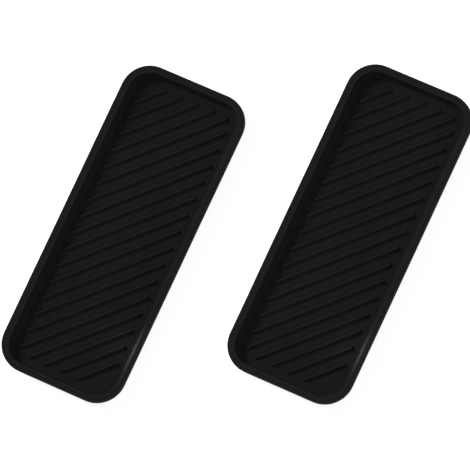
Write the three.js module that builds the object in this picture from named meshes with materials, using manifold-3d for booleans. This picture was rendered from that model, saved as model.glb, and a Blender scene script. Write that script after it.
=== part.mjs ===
// A pair of loose rubber tire traction mats, lying side by side on the ground.
// Each mat is one moulding: a plate with rounded corners, a wall that flares up
// to a broad rim with a lip turned down, slanting tread ribs on the upper face,
// and a foot ring with slanting ground cleats inside it below.
// Millimetres, +Z up. The origin is on the ground, at the middle of the pair.

import * as THREE from "three";
import { mergeVertices } from "three/addons/utils/BufferGeometryUtils.js";
import Module from "manifold-3d";

const wasm = await Module();
wasm.setup();

// Plan of one mat.
const MAT_WIDTH = 280;
const MAT_LENGTH = 700;
const CORNER_RADIUS = 62;
const ARC_DIVISIONS = 4;

// Where the second mat lies, seen from the first.
const PAIR_STEP_X = 436;
const PAIR_STEP_Y = 187;

// Heights above the ground.
const CLEAT_DEPTH = 2.5;
const PLATE_THICKNESS = 4;
const FLOOR_Z = CLEAT_DEPTH + PLATE_THICKNESS;
const RIM_RISE = 21.5;
const RIM_Z = FLOOR_Z + RIM_RISE;

// The rim and its lip: widths are measured inwards from the outline.
const RIM_WIDTH = 15;
const RIM_ROUNDING = 2.6;
const LIP_DROP = 9;
const LIP_THICKNESS = 3;
const LIP_EDGE = 0.6;

// The flared wall between the rim and the tread floor.
const WALL_RUN = 6;
const WALL_THICKNESS = 4;
const COVE_WIDTH = 2.6;
const COVE_HEIGHT = 1.6;

// The ring that the mat stands on.
const FOOT_INSET = 20;
const FOOT_WIDTH = 8;
const FOOT_CHAMFER = 0.8;

// Tread ribs, at 45 degrees to the mat's sides.
const RIB_COUNT = 20;
const RIB_PITCH = 37.9;
const RIB_SHIFT = 6.3;
const RIB_END_INSET = 38.5;
const RIB_HEIGHT = 5.2;
const RIB_BASE_RADIUS = 3.8;
const RIB_SHOULDER_RADIUS = 2.4;
const RIB_CREST_RADIUS = 1.6;
const RIB_SHOULDER_DROP = 0.8;
const BAR_END_DIVISIONS = 5;

// Ground cleats slant the other way.
const CLEAT_END_INSET = 39;
const CLEAT_BASE_RADIUS = 5.5;
const CLEAT_TIP_RADIUS = 4.2;

// How far a rib or cleat is sunk into the plate that it grows from.
const ROOT_DEPTH = 1;

const RUBBER = { color: 0x1d1d1f, roughness: 0.62, metalness: 0 };

/** Rounded rectangle, drawn a given distance inside the mat's outline. */
function insetOutline(inset) {
  const x = MAT_WIDTH / 2 - inset;
  const y = MAT_LENGTH / 2 - inset;
  const radius = CORNER_RADIUS - inset;
  const quarter = Math.PI / 2;
  const outline = new THREE.Shape();
  outline.moveTo(x, -y + radius);
  outline.absarc(x - radius, y - radius, radius, 0, quarter, false);
  outline.absarc(-x + radius, y - radius, radius, quarter, 2 * quarter, false);
  outline.absarc(-x + radius, -y + radius, radius, 2 * quarter, 3 * quarter, false);
  outline.absarc(x - radius, -y + radius, radius, 3 * quarter, 4 * quarter, false);
  return outline.getPoints(ARC_DIVISIONS).slice(0, -1);
}

/** Outline of a bar with round ends, between two points. */
function barOutline(start, end, radius) {
  const heading = end.clone().sub(start).angle();
  const points = [];
  for (const [centre, first] of [[end, heading - Math.PI / 2], [start, heading + Math.PI / 2]]) {
    for (let i = 0; i <= BAR_END_DIVISIONS; i += 1) {
      const angle = first + (Math.PI * i) / BAR_END_DIVISIONS;
      const spoke = new THREE.Vector2(Math.cos(angle), Math.sin(angle));
      points.push(spoke.multiplyScalar(radius).add(centre));
    }
  }
  return points;
}

/** Closed solid whose skin runs through equal outlines, each at its own height. */
function loftSolid(layers) {
  const count = layers[0].points.length;
  const positions = [];
  const triangles = [];
  for (const { points, z } of layers) {
    points.forEach((point) => positions.push(point.x, point.y, z));
  }
  for (let layer = 0; layer + 1 < layers.length; layer += 1) {
    for (let i = 0; i < count; i += 1) {
      const a = layer * count + i;
      const b = layer * count + ((i + 1) % count);
      triangles.push(a, b, b + count, a, b + count, a + count);
    }
  }
  const top = (layers.length - 1) * count;
  for (const [a, b, c] of THREE.ShapeUtils.triangulateShape(layers[0].points, [])) {
    triangles.push(a, c, b);
  }
  for (const [a, b, c] of THREE.ShapeUtils.triangulateShape(layers.at(-1).points, [])) {
    triangles.push(top + a, top + b, top + c);
  }
  let geometry = new THREE.BufferGeometry();
  geometry.setAttribute("position", new THREE.Float32BufferAttribute(positions, 3));
  geometry.setIndex(triangles);
  geometry = mergeVertices(geometry, 1e-4);
  return new wasm.Manifold(new wasm.Mesh({
    numProp: 3,
    vertProperties: new Float32Array(geometry.attributes.position.array),
    triVerts: new Uint32Array(geometry.index.array),
  }));
}

/** Plate, wall, rim and lip: from the recessed underside, round the lip, to the floor. */
function trayBody() {
  const rimUnderside = RIM_Z - WALL_THICKNESS;
  const lipBottom = RIM_Z - LIP_DROP;
  const wallTop = RIM_Z - RIM_ROUNDING * 0.85;
  const wallFoot = FLOOR_Z + COVE_HEIGHT;
  const lean = Math.atan2(WALL_RUN, wallTop - wallFoot);
  const wallPlanThickness = WALL_THICKNESS / Math.cos(lean);
  const outerWallTop = rimUnderside - LIP_EDGE;
  const outerWallInset = RIM_WIDTH + (wallTop - outerWallTop) * Math.tan(lean) - wallPlanThickness;
  const coveInset = RIM_WIDTH + WALL_RUN;
  const section = [
    [FOOT_INSET + FOOT_WIDTH + FOOT_CHAMFER, CLEAT_DEPTH],
    [FOOT_INSET + FOOT_WIDTH, 0],
    [FOOT_INSET + FOOT_CHAMFER, 0],
    [FOOT_INSET, FOOT_CHAMFER],
    [outerWallInset, outerWallTop],
    [outerWallInset - LIP_EDGE, rimUnderside],
    [LIP_THICKNESS + LIP_EDGE, rimUnderside],
    [LIP_THICKNESS, rimUnderside - LIP_EDGE],
    [LIP_THICKNESS, lipBottom],
    [LIP_EDGE, lipBottom],
    [0, lipBottom + LIP_EDGE],
    [0, RIM_Z - RIM_ROUNDING],
    [RIM_ROUNDING * 0.3, RIM_Z - RIM_ROUNDING * 0.3],
    [RIM_ROUNDING, RIM_Z],
    [RIM_WIDTH - RIM_ROUNDING, RIM_Z],
    [RIM_WIDTH - RIM_ROUNDING * 0.35, RIM_Z - RIM_ROUNDING * 0.2],
    [RIM_WIDTH, wallTop],
    [coveInset, wallFoot],
    [coveInset + COVE_WIDTH * 0.4, FLOOR_Z + COVE_HEIGHT * 0.3],
    [coveInset + COVE_WIDTH, FLOOR_Z],
  ];
  return loftSolid(section.map(([inset, z]) => ({ points: insetOutline(inset), z })));
}

/** Upper end of the 45 degree line y = x + rise, on the fence that bars stop at. */
function fenceEnd(rise, inset) {
  const x = MAT_WIDTH / 2 - inset;
  const y = MAT_LENGTH / 2 - inset;
  const radius = CORNER_RADIUS - inset;
  if (x + rise <= y - radius) {
    return new THREE.Vector2(x, x + rise);
  }
  if (y - rise <= x - radius) {
    return new THREE.Vector2(y - rise, y);
  }
  const centreX = x - radius;
  const shifted = y - radius - rise;
  const reach = Math.sqrt(2 * radius ** 2 - (centreX - shifted) ** 2);
  const crossing = (centreX + shifted + reach) / 2;
  return new THREE.Vector2(crossing, crossing + rise);
}

/** Both ends of every bar in a row whose middle line rises by a given shift. */
function barRow(inset, shift) {
  const row = [];
  for (let i = 0; i < RIB_COUNT; i += 1) {
    const rise = ((RIB_COUNT - 1) / 2 - i) * RIB_PITCH + shift;
    row.push({ start: fenceEnd(-rise, inset).negate(), end: fenceEnd(rise, inset) });
  }
  return row;
}

/** One tread rib, narrowing from its root to a rounded crest. */
function treadRib({ start, end }) {
  const layers = [
    [RIB_BASE_RADIUS, FLOOR_Z - ROOT_DEPTH],
    [RIB_BASE_RADIUS, FLOOR_Z],
    [RIB_SHOULDER_RADIUS, FLOOR_Z + RIB_HEIGHT - RIB_SHOULDER_DROP],
    [RIB_CREST_RADIUS, FLOOR_Z + RIB_HEIGHT],
  ];
  return loftSolid(layers.map(([radius, z]) => ({ points: barOutline(start, end, radius), z })));
}

/** One ground cleat, under the plate and slanting the other way. */
function groundCleat({ start, end }) {
  const mirror = new THREE.Vector2(-1, 1);
  const from = end.clone().multiply(mirror);
  const to = start.clone().multiply(mirror);
  const layers = [
    [CLEAT_TIP_RADIUS, 0],
    [CLEAT_BASE_RADIUS, CLEAT_DEPTH],
    [CLEAT_BASE_RADIUS, CLEAT_DEPTH + ROOT_DEPTH],
  ];
  return loftSolid(layers.map(([radius, z]) => ({ points: barOutline(from, to, radius), z })));
}

/** One whole mat, moulded in one piece, as a three.js geometry. */
function matGeometry() {
  let solid = trayBody();
  for (const ends of barRow(RIB_END_INSET, RIB_SHIFT)) {
    solid = solid.add(treadRib(ends));
  }
  for (const ends of barRow(CLEAT_END_INSET, 0)) {
    solid = solid.add(groundCleat(ends));
  }
  const { vertProperties, triVerts } = solid.getMesh();
  const geometry = new THREE.BufferGeometry();
  geometry.setAttribute("position", new THREE.BufferAttribute(vertProperties, 3));
  geometry.setIndex(new THREE.BufferAttribute(triVerts, 1));
  geometry.computeVertexNormals();
  return geometry;
}

const pair = new THREE.Group();
const oneMat = matGeometry();
for (const [name, side] of [["mat_left", -1], ["mat_right", 1]]) {
  const mat = new THREE.Mesh(oneMat.clone(), new THREE.MeshStandardMaterial(RUBBER));
  mat.name = name;
  mat.position.set((side * PAIR_STEP_X) / 2, (side * PAIR_STEP_Y) / 2, 0);
  pair.add(mat);
}

export default pair;
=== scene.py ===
"""Two loose moulded rubber tire traction mats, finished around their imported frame.

Each mat is one piece of rubber: a plate with a flared wall and a broad rim, slanting
tread ribs on its floor, and a foot ring with ground cleats below. Its fine skin is
built here, in metres and in the frame's own axes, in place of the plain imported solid.
"""

import logging
import math
from collections.abc import Sequence
from dataclasses import dataclass, field
from enum import Enum

import bmesh
import bpy
from mathutils import Matrix, Quaternion, Vector, noise
from mathutils.geometry import delaunay_2d_cdt


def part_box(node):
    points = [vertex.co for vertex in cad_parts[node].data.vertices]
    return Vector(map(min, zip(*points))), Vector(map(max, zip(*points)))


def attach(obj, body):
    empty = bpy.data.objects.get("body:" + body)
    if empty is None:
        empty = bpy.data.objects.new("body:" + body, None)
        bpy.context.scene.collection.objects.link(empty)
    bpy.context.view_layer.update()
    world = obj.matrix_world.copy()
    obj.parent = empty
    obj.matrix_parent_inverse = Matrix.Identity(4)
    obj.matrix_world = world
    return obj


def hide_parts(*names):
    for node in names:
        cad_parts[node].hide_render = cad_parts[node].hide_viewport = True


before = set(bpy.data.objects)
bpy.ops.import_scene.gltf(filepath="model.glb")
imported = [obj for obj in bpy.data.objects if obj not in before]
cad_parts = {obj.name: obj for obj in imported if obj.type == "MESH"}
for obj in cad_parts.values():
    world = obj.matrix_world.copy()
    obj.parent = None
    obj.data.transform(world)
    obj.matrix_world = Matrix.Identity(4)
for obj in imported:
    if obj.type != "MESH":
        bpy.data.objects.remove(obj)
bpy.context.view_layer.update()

log = logging.getLogger("traction_mats")

MM = 0.001
WELD_REACH = 2e-6
SLIVER_LENGTH = 1e-7

Point = tuple[float, float]


class Zone(Enum):
    """Surfaces of one moulding that leave the tool with their own texture."""

    RIM = 0
    FLOOR = 1
    RIB = 2
    GROUND = 3


# --------------------------------------------------------------------------- paths


@dataclass(frozen=True)
class Corner:
    """One corner of a section, with the radius that rounds it."""

    across: float
    height: float
    radius: float = 0.0


def rounded_path(corners: Sequence[Corner], steps: int) -> list[Point]:
    """Joins corners by straight runs, with an arc at each one that has a radius.

    Args:
        corners: The section's corners in order, in millimetres.
        steps: Number of chords in each arc.

    Returns:
        The points along the path as (across, height) pairs.
    """
    points: list[Point] = [(corners[0].across, corners[0].height)]
    for before, here, after in zip(corners, corners[1:], corners[2:]):
        tip = Vector((here.across, here.height))
        if here.radius <= 0.0:
            points.append(tuple(tip))
            continue
        back = (Vector((before.across, before.height)) - tip).normalized()
        ahead = (Vector((after.across, after.height)) - tip).normalized()
        half_opening = back.angle(ahead) / 2
        reach = here.radius / math.tan(half_opening)
        centre = tip + (back + ahead).normalized() * (here.radius / math.sin(half_opening))
        first = tip + back * reach - centre
        last = tip + ahead * reach - centre
        sweep = first.angle_signed(last)
        for i in range(steps + 1):
            turn = -sweep * i / steps
            spoke = Vector((
                first.x * math.cos(turn) - first.y * math.sin(turn),
                first.x * math.sin(turn) + first.y * math.cos(turn),
            ))
            points.append(tuple(centre + spoke))
    points.append((corners[-1].across, corners[-1].height))
    return points


# --------------------------------------------------------------------------- shape


@dataclass(frozen=True)
class MatPlan:
    """Plan of one mat about its own centre, in millimetres."""

    width: float = 280.0
    length: float = 700.0
    corner_radius: float = 62.0
    corner_steps: int = 14
    run_length: float = 9.0

    def ring(self, inset: float) -> list[Point]:
        """Walks the rounded rectangle that lies a distance inside the outline.

        Args:
            inset: Distance inwards from the outline; below zero it lies outside.

        Returns:
            Points in anticlockwise order, the same number for every inset.
        """
        core_x = self.width / 2 - self.corner_radius
        core_y = self.length / 2 - self.corner_radius
        radius = self.corner_radius - inset
        quarter = math.pi / 2
        centres = [(core_x, core_y), (-core_x, core_y), (-core_x, -core_y), (core_x, -core_y)]
        points: list[Point] = []
        for turn, (x, y) in enumerate(centres):
            for i in range(self.corner_steps + 1):
                angle = quarter * (turn + i / self.corner_steps)
                points.append((x + radius * math.cos(angle), y + radius * math.sin(angle)))
            last_x, last_y = points[-1]
            straight = 2 * (core_x if turn % 2 == 0 else core_y)
            runs = max(2, round(straight / self.run_length))
            heading = quarter * (turn + 2)
            for i in range(1, runs):
                along = straight * i / runs
                points.append((last_x + along * math.cos(heading), last_y + along * math.sin(heading)))
        return points

    def fence_end(self, rise: float, inset: float) -> Vector:
        """Finds where the slanting line y = x + rise meets the fence at its upper end.

        Args:
            rise: Where the line crosses the mat's long axis.
            inset: How far the fence lies inside the outline.

        Returns:
            The crossing point.
        """
        x = self.width / 2 - inset
        y = self.length / 2 - inset
        radius = self.corner_radius - inset
        if x + rise <= y - radius:
            return Vector((x, x + rise))
        if y - rise <= x - radius:
            return Vector((y - rise, y))
        centre_x = x - radius
        shifted = y - radius - rise
        reach = math.sqrt(2 * radius**2 - (centre_x - shifted) ** 2)
        crossing = (centre_x + shifted + reach) / 2
        return Vector((crossing, crossing + rise))


@dataclass(frozen=True)
class BarRow:
    """A row of straight bars with round ends, at 45 degrees to the mat's sides."""

    count: int
    pitch: float
    end_inset: float
    section: tuple[Corner, ...]
    shift: float = 0.0
    mirrored: bool = False
    end_steps: int = 9
    arc_steps: int = 4
    run_length: float = 9.0

    def centre_lines(self, plan: MatPlan) -> list[tuple[Vector, Vector]]:
        """Gives both end centres of every bar.

        Args:
            plan: The mat that the bars lie on.

        Returns:
            One (start, end) pair for each bar.
        """
        lines = []
        for i in range(self.count):
            rise = ((self.count - 1) / 2 - i) * self.pitch + self.shift
            start, end = -plan.fence_end(-rise, self.end_inset), plan.fence_end(rise, self.end_inset)
            if self.mirrored:
                start, end = Vector((-end.x, end.y)), Vector((-start.x, start.y))
            lines.append((start, end))
        return lines

    def outline(self, start: Vector, end: Vector, radius: float) -> list[Point]:
        """Walks round one bar at a distance from its centre line.

        Args:
            start: Centre of the bar's first round end.
            end: Centre of its other round end.
            radius: Distance from the centre line.

        Returns:
            Points in anticlockwise order, the same number for every radius.
        """
        along = end - start
        heading = math.atan2(along.y, along.x)
        runs = max(1, round(along.length / self.run_length))
        points: list[Point] = []
        turns = ((end, start, heading - math.pi / 2), (start, end, heading + math.pi / 2))
        for centre, other, first in turns:
            for i in range(self.end_steps + 1):
                angle = first + math.pi * i / self.end_steps
                points.append((centre.x + radius * math.cos(angle), centre.y + radius * math.sin(angle)))
            offset = Vector(points[-1]) - centre
            for i in range(1, runs):
                points.append(tuple(centre.lerp(other, i / runs) + offset))
        return points


class SkinBuilder:
    """Collects the faces of one closed skin, each with its zone."""

    def __init__(self) -> None:
        """Starts with an empty skin."""
        self.vertices: list[tuple[float, float, float]] = []
        self.faces: list[tuple[int, ...]] = []
        self.zones: list[int] = []

    def loft(
        self,
        layers: Sequence[tuple[list[Point], float]],
        zones: Sequence[Zone],
        facing_down: bool = False,
    ) -> None:
        """Skins across equal rings.

        Args:
            layers: Rings with their heights, from the skin's start to its end.
            zones: The zone of the band after each ring.
            facing_down: True if rings that shrink should face the ground.
        """
        base = len(self.vertices)
        count = len(layers[0][0])
        for ring, height in layers:
            self.vertices.extend((x, y, height) for x, y in ring)
        for layer in range(len(layers) - 1):
            for i in range(count):
                a = base + layer * count + i
                b = base + layer * count + (i + 1) % count
                quad = (a, b, b + count, a + count)
                self.faces.append(quad[::-1] if facing_down else quad)
                self.zones.append(zones[layer].value)

    def sheet(
        self,
        edge: list[Point],
        holes: list[list[Point]],
        extra: list[Point],
        height: float,
        zone: Zone,
        facing_down: bool = False,
    ) -> None:
        """Fills a level sheet inside an edge, leaving out convex holes.

        Args:
            edge: The sheet's outer ring.
            holes: Rings of the bars that grow out of it.
            extra: Loose points that give the sheet vertices of its own.
            height: The sheet's height.
            zone: The zone of its faces.
            facing_down: True if the sheet faces the ground.
        """
        points = [Vector(p) for p in edge]
        borders = []
        owner = [-1] * len(edge)
        for number, hole in enumerate(holes):
            start = len(points)
            points.extend(Vector(p) for p in hole)
            owner.extend([number] * len(hole))
            borders.extend((start + i, start + (i + 1) % len(hole)) for i in range(len(hole)))
        points.extend(Vector(p) for p in extra)
        owner.extend([-1] * len(extra))
        outer = [list(range(len(edge)))]
        flat, _, triangles, origins, _, _ = delaunay_2d_cdt(points, borders, outer, 1, 1e-6, True)
        owners = [owner[source[0]] if source else -1 for source in origins]
        base = len(self.vertices)
        self.vertices.extend((p.x, p.y, height) for p in flat)
        for triangle in triangles:
            held = {owners[i] for i in triangle}
            if len(held) == 1 and held != {-1}:
                continue
            corners = tuple(base + i for i in triangle)
            a, b, c = (flat[i] for i in triangle)
            anticlockwise = (b - a).cross(c - a) > 0
            self.faces.append(corners if anticlockwise != facing_down else corners[::-1])
            self.zones.append(zone.value)


@dataclass
class TractionMat:
    """One mat: its sizes in millimetres, the place it lies, and how its skin is made."""

    node: str
    body: str
    seed: float
    plan: MatPlan = field(default_factory=MatPlan)
    floor_height: float = 6.5
    plate_underside: float = 2.5
    rim_height: float = 28.0
    rim_width: float = 14.3
    wall_run: float = 6.6
    wall_thickness: float = 4.0
    outer_wall_inset: float = 11.2
    rim_inner_radius: float = 8.0
    rim_outer_radius: float = 2.9
    cove_radius: float = 1.0
    lip_drop: float = 9.0
    lip_thickness: float = 3.0
    lip_draft: float = 0.2
    lip_radius: float = 0.7
    foot_inset: float = 20.0
    foot_width: float = 8.0
    foot_chamfer: float = 0.8
    foot_radius: float = 1.0
    flash_stand: float = 0.25
    flash_height: float = 1.6
    flash_half: float = 0.35
    floor_edge: float = 25.0
    recess_edge: float = 32.0
    bar_count: int = 20
    bar_pitch: float = 37.9
    rib_height: float = 5.2
    rib_end_inset: float = 38.5
    rib_shift: float = 6.3
    cleat_end_inset: float = 40.5
    section_steps: int = 6
    grid: float = 13.0
    grid_clearance: float = 3.0
    grid_margin: float = 5.0
    sag: float = 0.35
    wander: float = 0.45
    sag_span: float = 170.0

    def ribs(self) -> BarRow:
        """Gives the row of tread ribs."""
        top = self.floor_height + self.rib_height
        section = (
            Corner(5.4, self.floor_height),
            Corner(3.8, self.floor_height, 1.2),
            Corner(2.1, top, 1.7),
            Corner(0.0, top),
        )
        return BarRow(self.bar_count, self.bar_pitch, self.rib_end_inset, section, shift=self.rib_shift)

    def cleats(self) -> BarRow:
        """Gives the row of ground cleats."""
        section = (
            Corner(7.0, self.plate_underside),
            Corner(5.5, self.plate_underside, 0.9),
            Corner(4.2, 0.0, 0.9),
            Corner(0.0, 0.0),
        )
        return BarRow(self.bar_count, self.bar_pitch, self.cleat_end_inset, section, mirrored=True)

    def section(self) -> tuple[Corner, ...]:
        """Gives the corners of the rim's section, from the underside round to the floor."""
        under_rim = self.rim_height - self.wall_thickness
        lip_bottom = self.rim_height - self.lip_drop
        flash = lip_bottom + self.flash_height
        foot = self.foot_inset + self.foot_width
        return (
            Corner(self.recess_edge, self.plate_underside),
            Corner(foot + self.foot_chamfer, self.plate_underside, self.foot_radius),
            Corner(foot, 0.0, self.foot_chamfer),
            Corner(self.foot_inset, 0.0, self.foot_radius),
            Corner(self.outer_wall_inset, under_rim, 2.4),
            Corner(self.lip_thickness + self.lip_draft, under_rim, 1.2),
            Corner(self.lip_thickness, lip_bottom, self.lip_radius),
            Corner(0.0, lip_bottom, self.lip_radius),
            Corner(0.0, flash - self.flash_half),
            Corner(-self.flash_stand, flash),
            Corner(0.0, flash + self.flash_half),
            Corner(0.0, self.rim_height, self.rim_outer_radius),
            Corner(self.rim_width, self.rim_height, self.rim_inner_radius),
            Corner(self.rim_width + self.wall_run, self.floor_height, self.cove_radius),
            Corner(self.floor_edge, self.floor_height),
        )

    def band_zones(self, path: Sequence[Point]) -> list[Zone]:
        """Says which zone each band of the rim's section belongs to.

        Args:
            path: The section's points.

        Returns:
            One zone for each band between two points.
        """
        lip_bottom = self.rim_height - self.lip_drop
        zones, over_lip = [], False
        for across, height in path[:-1]:
            over_lip = over_lip or (across <= 0.0 and height > lip_bottom)
            zones.append(Zone.RIM if over_lip else Zone.GROUND)
        return zones

    def fill_points(self, row: BarRow, inset: float) -> list[Point]:
        """Scatters vertices between the bars of a level sheet.

        Args:
            row: The bars that grow out of the sheet.
            inset: How far inside the outline the points begin.

        Returns:
            Points that stand clear of the bars and the sheet's edge.
        """
        half_x = self.plan.width / 2 - inset
        half_y = self.plan.length / 2 - inset
        corner = self.plan.corner_radius - inset
        clear = row.section[0].across + self.grid_clearance
        lines = row.centre_lines(self.plan)
        points = []
        across, along = int(half_x // self.grid), int(half_y // self.grid)
        for i in range(-across, across + 1):
            for j in range(-along, along + 1):
                spot = Vector((i * self.grid, j * self.grid))
                into_x = max(0.0, abs(spot.x) - half_x + corner)
                into_y = max(0.0, abs(spot.y) - half_y + corner)
                if math.hypot(into_x, into_y) > corner:
                    continue
                if min(distance_to_line(spot, *line) for line in lines) > clear:
                    points.append(tuple(spot))
        return points

    def bars(self, skin: SkinBuilder, row: BarRow, zone: Zone, facing_down: bool) -> list[list[Point]]:
        """Builds every bar of a row.

        Args:
            skin: The skin to add to.
            row: The row of bars.
            zone: The zone of their faces.
            facing_down: True for bars that stand down from the plate.

        Returns:
            The ring round each bar's root, for the sheet that it grows from.
        """
        path = rounded_path(row.section, row.arc_steps)
        roots = []
        for start, end in row.centre_lines(self.plan):
            layers = [(row.outline(start, end, radius), height) for radius, height in path]
            skin.loft(layers, [zone] * (len(layers) - 1), facing_down)
            roots.append(layers[0][0])
        return roots

    def skin(self) -> SkinBuilder:
        """Builds the whole closed skin about the mat's own centre, in millimetres."""
        skin = SkinBuilder()
        path = rounded_path(self.section(), self.section_steps)
        layers = [(self.plan.ring(across), height) for across, height in path]
        skin.loft(layers, self.band_zones(path))
        for row, zone, edge, height, down in (
            (self.ribs(), Zone.RIB, layers[-1][0], self.floor_height, False),
            (self.cleats(), Zone.GROUND, layers[0][0], self.plate_underside, True),
        ):
            roots = self.bars(skin, row, zone, down)
            inset = (self.recess_edge if down else self.floor_edge) + self.grid_margin
            level = Zone.GROUND if down else Zone.FLOOR
            skin.sheet(edge, roots, self.fill_points(row, inset), height, level, down)
        return skin

    def relaxed(self, point: Vector) -> Vector:
        """Moves a point as soft rubber that doesn't lie quite true.

        Args:
            point: A point of the mould's shape, in millimetres.

        Returns:
            The point on the mat as it lies.
        """
        spot = Vector((point.x / self.sag_span, point.y / self.sag_span, self.seed))
        lift = max(0.0, point.z / self.rim_height)
        sideways = noise.noise(spot + Vector((7.0, 3.0, 0.0)))
        upwards = noise.noise(spot * 1.6)
        edge = point.x / (self.plan.width / 2)
        return Vector((
            point.x + self.wander * lift * sideways * abs(edge),
            point.y,
            point.z + self.sag * lift * upwards,
        ))

    def build(self, materials: Sequence[bpy.types.Material]) -> bpy.types.Object:
        """Makes the mat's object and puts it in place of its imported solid.

        Args:
            materials: One material for each zone, in the zones' order.

        Returns:
            The finished mat.
        """
        low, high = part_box(self.node)
        centre = (low + high) / 2
        skin = self.skin()
        mesh = bpy.data.meshes.new(self.node + "_skin")
        mesh.from_pydata([tuple(self.relaxed(Vector(v)) * MM) for v in skin.vertices], [], skin.faces)
        for material in materials:
            mesh.materials.append(material)
        mesh.polygons.foreach_set("material_index", skin.zones)
        weld(mesh)
        for polygon in mesh.polygons:
            polygon.use_smooth = True
        mesh.transform(Matrix.Translation((centre.x, centre.y, 0.0)))
        mat = bpy.data.objects.new(self.node + "_rubber", mesh)
        bpy.context.scene.collection.objects.link(mat)
        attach(mat, self.body)
        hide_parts(self.node)
        log.info("%s: %d vertices, %d faces", mat.name, len(mesh.vertices), len(mesh.polygons))
        return mat


def distance_to_line(spot: Vector, start: Vector, end: Vector) -> float:
    """Measures from a point to a stretch of line.

    Args:
        spot: The point.
        start: The stretch's first end.
        end: Its other end.

    Returns:
        The shortest distance.
    """
    along = end - start
    share = min(1.0, max(0.0, (spot - start).dot(along) / along.length_squared))
    return (spot - start - along * share).length


def weld(mesh: bpy.types.Mesh) -> None:
    """Joins the skin's parts where their vertices meet, and reports any open edge.

    Args:
        mesh: The skin, in metres.
    """
    work = bmesh.new()
    work.from_mesh(mesh)
    bmesh.ops.remove_doubles(work, verts=work.verts, dist=WELD_REACH)
    bmesh.ops.dissolve_degenerate(work, dist=SLIVER_LENGTH, edges=work.edges)
    open_edges = sum(1 for edge in work.edges if len(edge.link_faces) != 2)
    if open_edges:
        log.warning("%s has %d open edges", mesh.name, open_edges)
    work.to_mesh(mesh)
    work.free()


# ------------------------------------------------------------------------- shading


class Graph:
    """Adds and joins the nodes of one shader tree."""

    def __init__(self, tree: bpy.types.NodeTree) -> None:
        """Keeps the tree that the nodes go in."""
        self.tree = tree

    def add(self, kind: str, **settings: object) -> bpy.types.Node:
        """Adds a node and sets its plain properties.

        Args:
            kind: The node's type name.
            settings: Property names and values.

        Returns:
            The new node.
        """
        node = self.tree.nodes.new(kind)
        for name, value in settings.items():
            setattr(node, name, value)
        return node

    def feed(self, socket: bpy.types.NodeSocket, value: object) -> None:
        """Gives an input a value, or joins another node's output to it.

        Args:
            socket: The input.
            value: A number, a vector or an output.
        """
        if isinstance(value, bpy.types.NodeSocket):
            self.tree.links.new(value, socket)
        else:
            socket.default_value = value

    def math(
        self, operation: str, first: object, second: object = 0.0, clamp: bool = False
    ) -> bpy.types.NodeSocket:
        """Adds a Math node.

        Args:
            operation: The node's operation.
            first: Its first number or output.
            second: Its second number or output.
            clamp: True to keep the result from 0 to 1.

        Returns:
            The node's output.
        """
        node = self.add("ShaderNodeMath", operation=operation, use_clamp=clamp)
        self.feed(node.inputs[0], first)
        self.feed(node.inputs[1], second)
        return node.outputs[0]

    def noise(self, vector: object, scale: object, detail: float, roughness: float) -> bpy.types.NodeSocket:
        """Adds a noise texture.

        Args:
            vector: Where it is read.
            scale: Features for each metre.
            detail: Number of finer octaves.
            roughness: Strength of the finer octaves.

        Returns:
            Its value, around one half.
        """
        node = self.add("ShaderNodeTexNoise")
        self.feed(node.inputs["Vector"], vector)
        self.feed(node.inputs["Scale"], scale)
        self.feed(node.inputs["Detail"], detail)
        self.feed(node.inputs["Roughness"], roughness)
        return node.outputs["Fac"]

    def remap(
        self, value: object, low: object, high: object, to_low: object = 0.0, to_high: object = 1.0
    ) -> bpy.types.NodeSocket:
        """Stretches one range of values over another.

        Args:
            value: The value.
            low: Start of the range that it comes in.
            high: End of that range.
            to_low: Start of the range that it leaves in.
            to_high: End of that range.

        Returns:
            The new value.
        """
        node = self.add("ShaderNodeMapRange")
        for socket, given in zip(node.inputs, (value, low, high, to_low, to_high)):
            self.feed(socket, given)
        return node.outputs[0]

    def mix(self, share: object, first: object, second: object) -> bpy.types.NodeSocket:
        """Mixes two colours.

        Args:
            share: How much of the second colour shows.
            first: The first colour.
            second: The second colour.

        Returns:
            The mixed colour.
        """
        node = self.add("ShaderNodeMix", data_type="RGBA")
        self.feed(node.inputs["Factor"], share)
        self.feed(node.inputs[6], first)
        self.feed(node.inputs[7], second)
        return node.outputs[2]


class EffectGroup:
    """A shader group that several finishes share, made once and placed in each."""

    def __init__(self, name: str, inputs: Sequence[str], outputs: Sequence[str]) -> None:
        """Makes the group's tree and its number sockets.

        Args:
            name: The group's name.
            inputs: Names of its number inputs.
            outputs: Names of its number outputs.
        """
        self.tree = bpy.data.node_groups.new(name, "ShaderNodeTree")
        for label in inputs:
            self.tree.interface.new_socket(label, in_out="INPUT", socket_type="NodeSocketFloat")
        for label in outputs:
            self.tree.interface.new_socket(label, in_out="OUTPUT", socket_type="NodeSocketFloat")
        self.graph = Graph(self.tree)
        self.given = self.graph.add("NodeGroupInput").outputs
        self.made = self.graph.add("NodeGroupOutput").inputs

    def place(self, graph: Graph, **values: float) -> bpy.types.Node:
        """Puts the group in a material.

        Args:
            graph: The material's nodes.
            values: The inputs' values, by name, with _ for a space.

        Returns:
            The group's node.
        """
        node = graph.add("ShaderNodeGroup", node_tree=self.tree)
        for name, value in values.items():
            node.inputs[name.replace("_", " ").title()].default_value = value
        return node


def grain_group() -> EffectGroup:
    """Makes the fine pebbled grain of a sand-blasted rubber mould."""
    group = EffectGroup("moulded_grain", ["Scale", "Depth"], ["Height"])
    graph = group.graph
    where = graph.add("ShaderNodeTexCoord").outputs["Object"]
    fine = graph.noise(where, group.given["Scale"], 3.0, 0.6)
    pebbles = graph.add("ShaderNodeTexVoronoi", feature="SMOOTH_F1")
    graph.feed(pebbles.inputs["Vector"], where)
    graph.feed(pebbles.inputs["Scale"], graph.math("MULTIPLY", group.given["Scale"], 0.6))
    mixed = graph.math("ADD", fine, graph.math("MULTIPLY", pebbles.outputs["Distance"], 0.7))
    graph.feed(group.made["Height"], graph.math("MULTIPLY", mixed, group.given["Depth"]))
    return group


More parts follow.
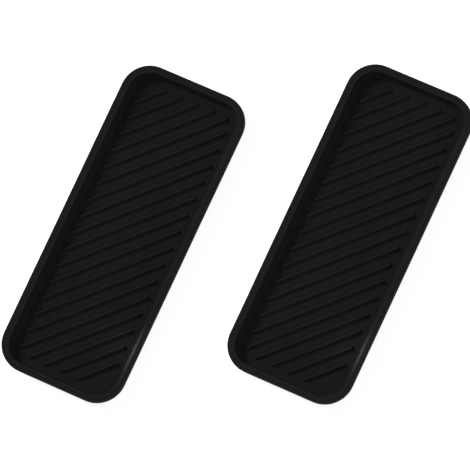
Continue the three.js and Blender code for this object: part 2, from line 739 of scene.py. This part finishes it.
def bloom_group() -> EffectGroup:
    """Makes the uneven grey bloom and flow marks of moulded rubber."""
    group = EffectGroup("rubber_bloom", ["Scale", "Contrast"], ["Mask"])
    graph = group.graph
    where = graph.add("ShaderNodeTexCoord").outputs["Object"]
    stretched = graph.add("ShaderNodeMapping")
    graph.feed(stretched.inputs["Vector"], where)
    stretched.inputs["Scale"].default_value = (1.0, 0.45, 1.0)
    broad = graph.noise(stretched.outputs[0], group.given["Scale"], 4.0, 0.55)
    small = graph.noise(where, graph.math("MULTIPLY", group.given["Scale"], 9.0), 3.0, 0.6)
    mixed = graph.math("ADD", graph.math("MULTIPLY", broad, 0.7), graph.math("MULTIPLY", small, 0.3))
    centred = graph.math("MULTIPLY", graph.math("SUBTRACT", mixed, 0.5), group.given["Contrast"])
    graph.feed(group.made["Mask"], graph.math("ADD", centred, 0.5, clamp=True))
    return group


def edge_wear_sheen_group() -> EffectGroup:
    """Makes the mask of the raised edges. They are lighter partly as wear from feet and stacking and partly
    as a painted sheen.
    """
    group = EffectGroup("edge_wear_and_painted_sheen", ["Reach", "Breakup"], ["Mask"])
    graph = group.graph
    point = graph.add("ShaderNodeNewGeometry").outputs["Pointiness"]
    where = graph.add("ShaderNodeTexCoord").outputs["Object"]
    start = graph.math("SUBTRACT", 0.56, group.given["Reach"])
    raised = graph.remap(point, start, 0.62)
    patches = graph.noise(where, 60.0, 5.0, 0.65)
    broken = graph.remap(patches, graph.math("SUBTRACT", 0.5, group.given["Breakup"]), 0.65)
    graph.feed(group.made["Mask"], graph.math("MULTIPLY", raised, broken, clamp=True))
    return group


def dust_group() -> EffectGroup:
    """Makes the mask of the fine dust that settles on level rubber."""
    group = EffectGroup("settled_dust", ["Amount"], ["Mask"])
    graph = group.graph
    split = graph.add("ShaderNodeSeparateXYZ")
    graph.feed(split.inputs[0], graph.add("ShaderNodeNewGeometry").outputs["Normal"])
    level = graph.remap(split.outputs["Z"], 0.75, 1.0)
    where = graph.add("ShaderNodeTexCoord").outputs["Object"]
    specks = graph.remap(graph.noise(where, 900.0, 2.0, 0.5), 0.62, 0.78)
    drifts = graph.remap(graph.noise(where, 7.0, 4.0, 0.6), 0.35, 0.75)
    lying = graph.math("MULTIPLY", graph.math("MULTIPLY", specks, drifts), level)
    graph.feed(group.made["Mask"], graph.math("MULTIPLY", lying, group.given["Amount"], clamp=True))
    return group


@dataclass(frozen=True)
class RubberFinish:
    """Black rubber as one zone of the mould leaves it, with painted light where a zone's colour is raised
    above the others; lengths are in metres.
    """

    name: str
    colour: tuple[float, float, float] = (0.0097, 0.0097, 0.0123)
    bloom_colour: tuple[float, float, float] = (0.0136, 0.0136, 0.0165)
    # Lighter colour of raised edges: partly wear, partly painted sheen.
    edge_wear_sheen_colour: tuple[float, float, float] = (0.024, 0.024, 0.026)
    dust_colour: tuple[float, float, float] = (0.11, 0.11, 0.11)
    roughness_low: float = 0.52
    roughness_high: float = 0.64
    grain_scale: float = 1500.0
    grain_depth: float = 0.6
    bump_distance: float = 0.00025
    bloom_scale: float = 9.0
    bloom_contrast: float = 2.2
    edge_wear_sheen_reach: float = 0.03
    edge_wear_sheen_breakup: float = 0.12
    dust: float = 0.10

    def material(self, effects: dict[str, EffectGroup]) -> bpy.types.Material:
        """Builds the finish as a material.

        Args:
            effects: The shared shader groups, by name.

        Returns:
            The material.
        """
        material = bpy.data.materials.new(self.name)
        material.use_nodes = True
        graph = Graph(material.node_tree)
        shader = material.node_tree.nodes["Principled BSDF"]
        grain = effects["grain"].place(graph, scale=self.grain_scale, depth=self.grain_depth)
        bloom = effects["bloom"].place(graph, scale=self.bloom_scale, contrast=self.bloom_contrast)
        edge = effects["edge"].place(graph, reach=self.edge_wear_sheen_reach, breakup=self.edge_wear_sheen_breakup)
        dust = effects["dust"].place(graph, amount=self.dust)
        bloomed = graph.mix(bloom.outputs["Mask"], (*self.colour, 1.0), (*self.bloom_colour, 1.0))
        # Raised edges turn lighter: partly wear, partly a painted sheen.
        worn_and_sheened = graph.mix(edge.outputs["Mask"], bloomed, (*self.edge_wear_sheen_colour, 1.0))
        dusted = graph.mix(dust.outputs["Mask"], worn_and_sheened, (*self.dust_colour, 1.0))
        graph.feed(shader.inputs["Base Color"], dusted)
        dull = graph.remap(bloom.outputs["Mask"], 0.0, 1.0, self.roughness_low, self.roughness_high)
        polished = graph.math("MULTIPLY", edge.outputs["Mask"], -0.08)
        graph.feed(shader.inputs["Roughness"], graph.math("ADD", dull, polished, clamp=True))
        bump = graph.add("ShaderNodeBump")
        bump.inputs["Strength"].default_value = 1.0
        bump.inputs["Distance"].default_value = self.bump_distance
        graph.feed(bump.inputs["Height"], grain.outputs["Height"])
        graph.feed(shader.inputs["Normal"], bump.outputs["Normal"])
        return material


def mat_finishes() -> list[bpy.types.Material]:
    """Makes one material for each zone of a mat, in the zones' order."""
    effects = {"grain": grain_group(), "bloom": bloom_group(), "edge": edge_wear_sheen_group(), "dust": dust_group()}
    finishes = {
        # Painted light: the rim's colour and bloom colour are lighter than the rest of the same rubber.
        # This lifts the rim top and inner walls to a lit brightness.
        Zone.RIM: RubberFinish(
            "rim_rubber_painted_light",
            colour=(0.0115, 0.0115, 0.0143),
            bloom_colour=(0.0158, 0.0158, 0.0190),
            roughness_low=0.46,
            roughness_high=0.58,
        ),
        Zone.FLOOR: RubberFinish("floor_rubber", roughness_low=0.56, roughness_high=0.68, grain_depth=0.8),
        Zone.RIB: RubberFinish("rib_rubber", edge_wear_sheen_reach=0.04, edge_wear_sheen_breakup=0.2),
        Zone.GROUND: RubberFinish("ground_rubber", grain_scale=1100.0, grain_depth=0.9, dust=0.25),
    }
    return [finishes[zone].material(effects) for zone in Zone]


# -------------------------------------------------------------------------- studio


class Task(Enum):
    """Whether a light falls evenly on the rubber or only shows in its sheen."""

    EVEN = "even"
    SHEEN = "sheen"


@dataclass(frozen=True)
class Snoot:
    """A narrow light whose beam only reaches a hand's breadth of a mat's rim."""

    heading: float
    elevation: float
    along: float
    power: float
    distance: float = 1.3
    radius: float = 0.03
    beam: float = 3.6
    blend: float = 0.9


@dataclass(frozen=True)
class Studio:
    """The pale floor, soft lights and camera; lengths are in metres, angles in degrees."""

    azimuth: float = 62.0
    elevation: float = 74.6
    roll: float = -37.75
    distance: float = 10.34
    lens: float = 383.0
    aim: tuple[float, float, float] = (-0.0056, -0.0018, 0.004)
    floor_size: float = 60.0
    floor_drop: float = 0.0002
    floor_glow: float = 0.86
    surround: float = 0.392
    surround_lean: tuple[float, float, float] = (0.48, -0.1, -0.8)
    key_heading: float = 167.0
    key_elevation: float = 32.0
    key_power: float = 2.7
    key_spread: float = 16.0
    key_distance: float = 3.0
    snoots: tuple[Snoot, ...] = (
        Snoot(heading=172.6, elevation=8.0, along=0.02, power=15.0),
        Snoot(heading=172.2, elevation=20.0, along=-0.005, power=11.0),
        Snoot(heading=170.8, elevation=36.0, along=0.02, power=7.0),
    )
    gleam_inset: float = 0.015
    gleam_along: float = 0.2295
    gleam_height: float = 0.025
    lit_mats: tuple[str, ...] = ("mat_left", "mat_right")

    def bearing(self, heading: float, elevation: float) -> Vector:
        """Gives the direction from the mats towards a point of the sky.

        Args:
            heading: Degrees anticlockwise from +X.
            elevation: Degrees above the floor.

        Returns:
            A vector of length one.
        """
        a, e = math.radians(heading), math.radians(elevation)
        return Vector((math.cos(a) * math.cos(e), math.sin(a) * math.cos(e), math.sin(e)))

    def backdrop(self) -> None:
        """Makes the floor, pale to the camera and a plain dull white to the light."""
        half = self.floor_size / 2
        low = -self.floor_drop
        mesh = bpy.data.meshes.new("studio_floor")
        corners = [(-half, -half, low), (half, -half, low), (half, half, low), (-half, half, low)]
        mesh.from_pydata(corners, [], [(0, 1, 2, 3)])
        floor = bpy.data.objects.new("studio_floor", mesh)
        bpy.context.scene.collection.objects.link(floor)
        material = bpy.data.materials.new("studio_floor")
        material.use_nodes = True
        graph = Graph(material.node_tree)
        material.node_tree.nodes.clear()
        paper = graph.add("ShaderNodeBsdfDiffuse")
        paper.inputs["Color"].default_value = (0.8, 0.8, 0.8, 1.0)
        glow = graph.add("ShaderNodeEmission")
        glow.inputs["Color"].default_value = (1.0, 1.0, 1.0, 1.0)
        seen = graph.add("ShaderNodeLightPath").outputs["Is Camera Ray"]
        graph.feed(glow.inputs["Strength"], graph.math("MULTIPLY", seen, self.floor_glow))
        both = graph.add("ShaderNodeAddShader")
        graph.feed(both.inputs[0], paper.outputs[0])
        graph.feed(both.inputs[1], glow.outputs[0])
        graph.feed(graph.add("ShaderNodeOutputMaterial").inputs["Surface"], both.outputs[0])
        mesh.materials.append(material)

    def sky(self) -> None:
        """Makes the soft light that comes from all round, with white behind the floor."""
        world = bpy.data.worlds.new("studio")
        bpy.context.scene.world = world
        world.use_nodes = True
        graph = Graph(world.node_tree)
        background = world.node_tree.nodes["Background"]
        background.inputs["Color"].default_value = (1.0, 1.0, 1.0, 1.0)
        seen = graph.add("ShaderNodeLightPath").outputs["Is Camera Ray"]
        side = graph.add("ShaderNodeVectorMath", operation="DOT_PRODUCT")
        graph.feed(side.inputs[0], graph.add("ShaderNodeTexCoord").outputs["Generated"])
        side.inputs[1].default_value = self.surround_lean
        around = graph.math("MULTIPLY", graph.math("ADD", side.outputs["Value"], 1.0), self.surround)
        graph.feed(background.inputs["Strength"], graph.remap(seen, 0.0, 1.0, around, 1.0))

    def lamp(self, name: str, data: bpy.types.Light, place: Vector, back: Vector, task: Task) -> None:
        """Hangs one light.

        Args:
            name: The light's name.
            data: Its settings.
            place: Where it hangs.
            back: The direction from what it lights towards it.
            task: What it does for the rubber.
        """
        light = bpy.data.objects.new(name, data)
        bpy.context.scene.collection.objects.link(light)
        light.location = place
        light.rotation_mode = "QUATERNION"
        light.rotation_quaternion = back.to_track_quat("Z", "Y")
        light.visible_glossy = task is Task.SHEEN
        light.visible_diffuse = task is Task.EVEN
        light.visible_camera = False

    def key(self) -> None:
        """Makes the broad key light, low on the mats' left."""
        data = bpy.data.lights.new("key", "SUN")
        data.energy = self.key_power
        data.angle = math.radians(self.key_spread)
        back = self.bearing(self.key_heading, self.key_elevation)
        self.lamp("key", data, back * self.key_distance, back, Task.EVEN)

    def gleams(self) -> None:
        """Makes the snooted lights that gleam on the inner edge of each mat's right rim."""
        for mat in self.lit_mats:
            low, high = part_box(mat)
            middle = (low.y + high.y) / 2
            aim = Vector((high.x - self.gleam_inset, middle - self.gleam_along, self.gleam_height))
            for number, snoot in enumerate(self.snoots, start=1):
                name = f"{mat}_snoot_{number}"
                back = self.bearing(snoot.heading, snoot.elevation)
                data = bpy.data.lights.new(name, "SPOT")
                data.shadow_soft_size = snoot.radius
                data.spot_size = math.radians(snoot.beam)
                data.spot_blend = snoot.blend
                data.energy = snoot.power
                lit = aim + Vector((0.0, snoot.along, 0.0))
                self.lamp(name, data, lit + back * snoot.distance, back, Task.SHEEN)

    def camera(self) -> None:
        """Makes the camera and sets how its picture is developed."""
        back = self.bearing(self.azimuth - 90.0, self.elevation)
        data = bpy.data.cameras.new("camera")
        data.lens = self.lens
        data.clip_end = 200.0
        camera = bpy.data.objects.new("camera", data)
        camera.rotation_mode = "QUATERNION"
        camera.location = Vector(self.aim) + back * self.distance
        level = (-back).to_track_quat("-Z", "Y")
        camera.rotation_quaternion = level @ Quaternion((0.0, 0.0, 1.0), math.radians(self.roll))
        bpy.context.scene.collection.objects.link(camera)
        bpy.context.scene.camera = camera
        bpy.context.scene.view_settings.view_transform = "Standard"

    def build(self) -> None:
        """Makes everything that stands round the mats."""
        self.backdrop()
        self.sky()
        self.key()
        self.gleams()
        self.camera()
        log.info("studio: floor, sky, key light, snoots for %d mats and camera", len(self.lit_mats))


def main() -> None:
    """Builds the studio and both mats."""
    logging.basicConfig(level=logging.INFO, format="%(message)s")
    Studio().build()
    materials = mat_finishes()
    for node, body, seed in (("mat_left", "left_mat", 1.7), ("mat_right", "right_mat", 8.3)):
        TractionMat(node=node, body=body, seed=seed).build(materials)


if __name__ == "__main__":
    main()
